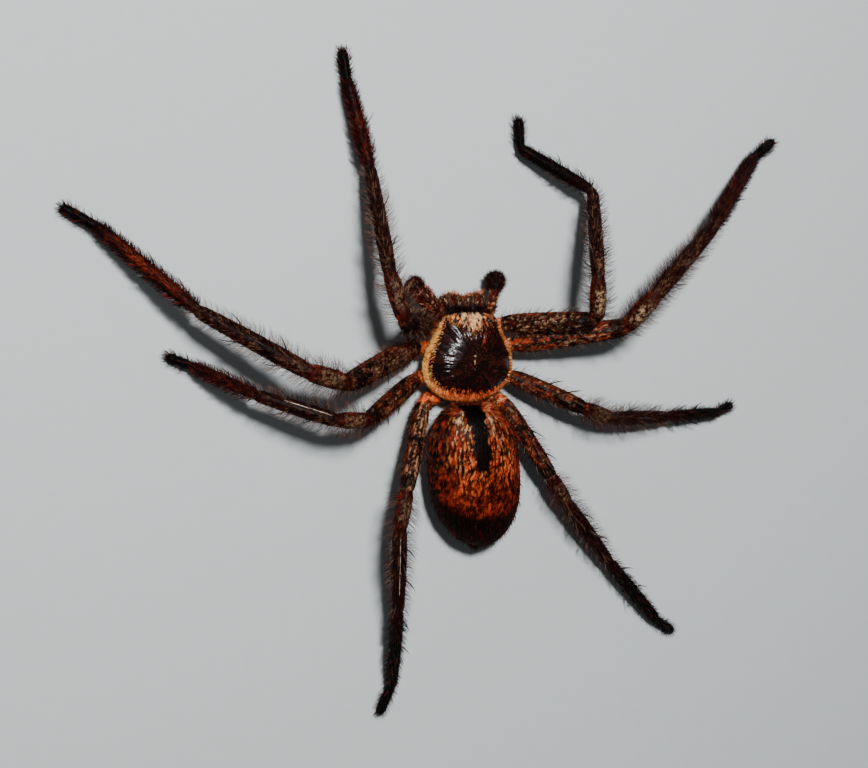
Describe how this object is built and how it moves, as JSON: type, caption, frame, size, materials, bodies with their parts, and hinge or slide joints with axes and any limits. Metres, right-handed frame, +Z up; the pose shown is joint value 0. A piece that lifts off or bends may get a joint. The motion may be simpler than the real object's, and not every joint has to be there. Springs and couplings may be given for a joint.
{
  "type": "huntsman spider display model",
  "caption": "Life-size still model of a hairy huntsman spider in a wide sprawled stance, standing by itself on its feet for display.",
  "frame": {"origin": "centre of the bottom of the spider's box, on the surface that it stands on", "axes": "+Z up; the head points along -Y; the spider's own left is +X, the way its longest legs spread"},
  "size_m": [0.1208, 0.1054, 0.0193],
  "materials": {
    "carapace": "glossy blackish brown shield with a hairy yellow-orange rim",
    "abdomen": "short velvety hair, orange with dark wavy mottling and a black stripe",
    "eyes": "polished black",
    "fangs": "polished blackish brown",
    "jaws": "dark brown with pale orange bristles",
    "palps": "dark brown, hairy, blacker at the ends",
    "underside": "brown, short hair",
    "spinnerets": "dark brown, short hair",
    "coxae": "orange-red, short hair",
    "legs": "mottled brown with cream flecks and orange lines, long erect hairs",
    "feet": "blackish, dense short brush"
  },
  "bodies": {
    "root": {"abdomen": "abdomen", "carapace": "carapace", "chelicera_left": "jaws", "chelicera_right": "jaws", "eye_front_middle_left": "eyes", "eye_front_middle_right": "eyes", "eye_front_side_left": "eyes", "eye_front_side_right": "eyes", "eye_rear_middle_left": "eyes", "eye_rear_middle_right": "eyes", "eye_rear_side_left": "eyes", "eye_rear_side_right": "eyes", "fang_left": "fangs", "fang_right": "fangs", "leg_left_1_coxa": "coxae", "leg_left_1_femur": "legs", "leg_left_1_metatarsus": "feet", "leg_left_1_patella_tibia": "legs", "leg_left_1_tarsus": "feet", "leg_left_2_coxa": "coxae", "leg_left_2_femur": "legs", "leg_left_2_metatarsus": "feet", "leg_left_2_patella_tibia": "legs", "leg_left_2_tarsus": "feet", "leg_left_3_coxa": "coxae", "leg_left_3_femur": "legs", "leg_left_3_metatarsus": "feet", "leg_left_3_patella_tibia": "legs", "leg_left_3_tarsus": "feet", "leg_left_4_coxa": "coxae", "leg_left_4_femur": "legs", "leg_left_4_metatarsus": "feet", "leg_left_4_patella_tibia": "legs", "leg_left_4_tarsus": "feet", "leg_right_1_coxa": "coxae", "leg_right_1_femur": "legs", "leg_right_1_metatarsus": "feet", "leg_right_1_patella_tibia": "legs", "leg_right_1_tarsus": "feet", "leg_right_2_coxa": "coxae", "leg_right_2_femur": "legs", "leg_right_2_metatarsus": "feet", "leg_right_2_patella_tibia": "legs", "leg_right_2_tarsus": "feet", "leg_right_3_coxa": "coxae", "leg_right_3_femur": "legs", "leg_right_3_metatarsus": "feet", "leg_right_3_patella_tibia": "legs", "leg_right_3_tarsus": "feet", "leg_right_4_coxa": "coxae", "leg_right_4_femur": "legs", "leg_right_4_metatarsus": "feet", "leg_right_4_patella_tibia": "legs", "leg_right_4_tarsus": "feet", "palp_left": "palps", "palp_right": "palps", "pedicel": "underside", "spinnerets": "spinnerets", "sternum": "underside"}
  },
  "joints": []
}
